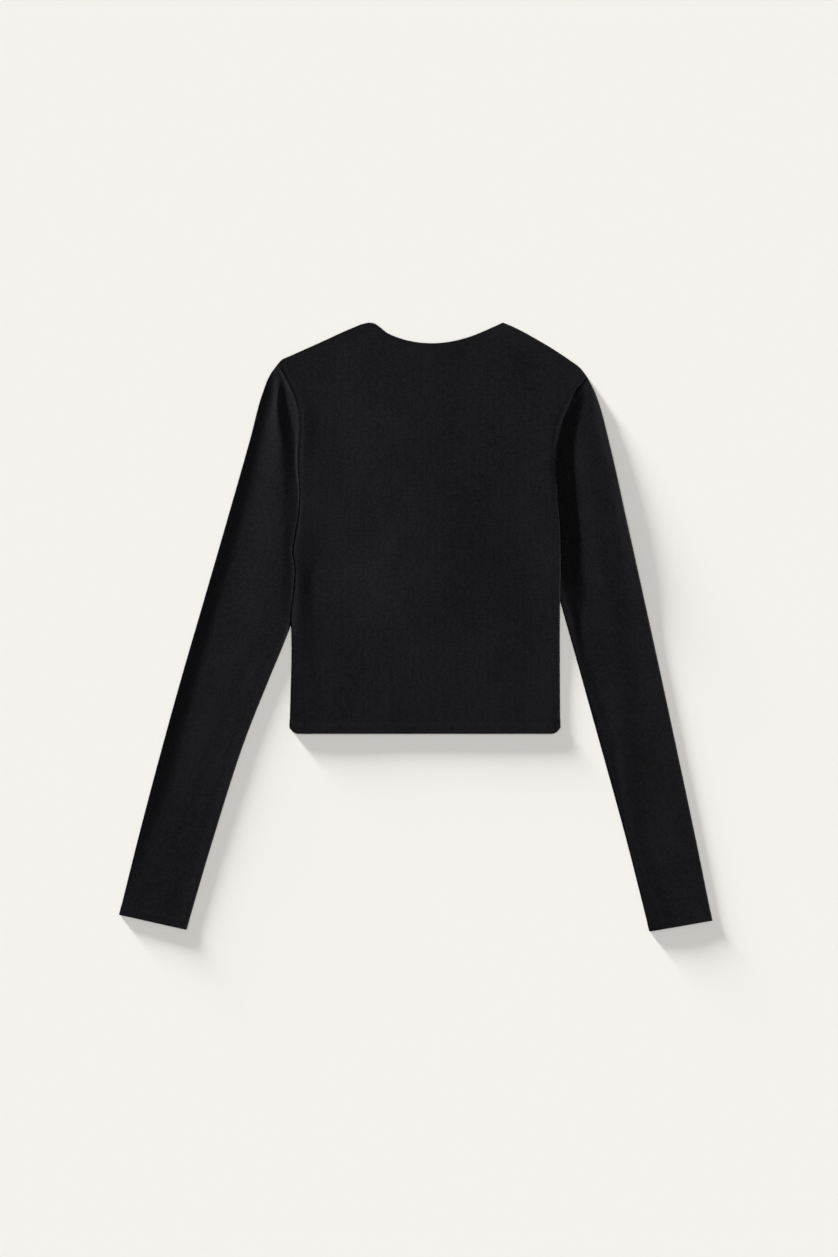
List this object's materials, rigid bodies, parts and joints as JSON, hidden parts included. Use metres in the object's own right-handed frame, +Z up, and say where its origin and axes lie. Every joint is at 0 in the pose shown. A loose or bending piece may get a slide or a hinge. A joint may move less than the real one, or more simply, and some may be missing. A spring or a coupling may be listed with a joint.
{
  "type": "crop top",
  "caption": "Cropped long-sleeved top in black double knit, laid flat with its back up; neck, hem and cuffs are open.",
  "frame": {"origin": "middle of the footprint, on the surface that the top lies on", "axes": "+Z up out of the garment's back, +Y from hem to neck, +X to the right as seen from above"},
  "size_m": [0.6404, 0.6575, 0.0065],
  "materials": {
    "body_knit": "matte black double knit, fine upright wales, turned hem",
    "sleeve_knit": "matte black double knit, wales along the sleeve, turned cuff"
  },
  "bodies": {
    "root": {"back": "body_knit", "front": "body_knit", "sleeve_left": "sleeve_knit", "sleeve_right": "sleeve_knit"}
  },
  "joints": []
}
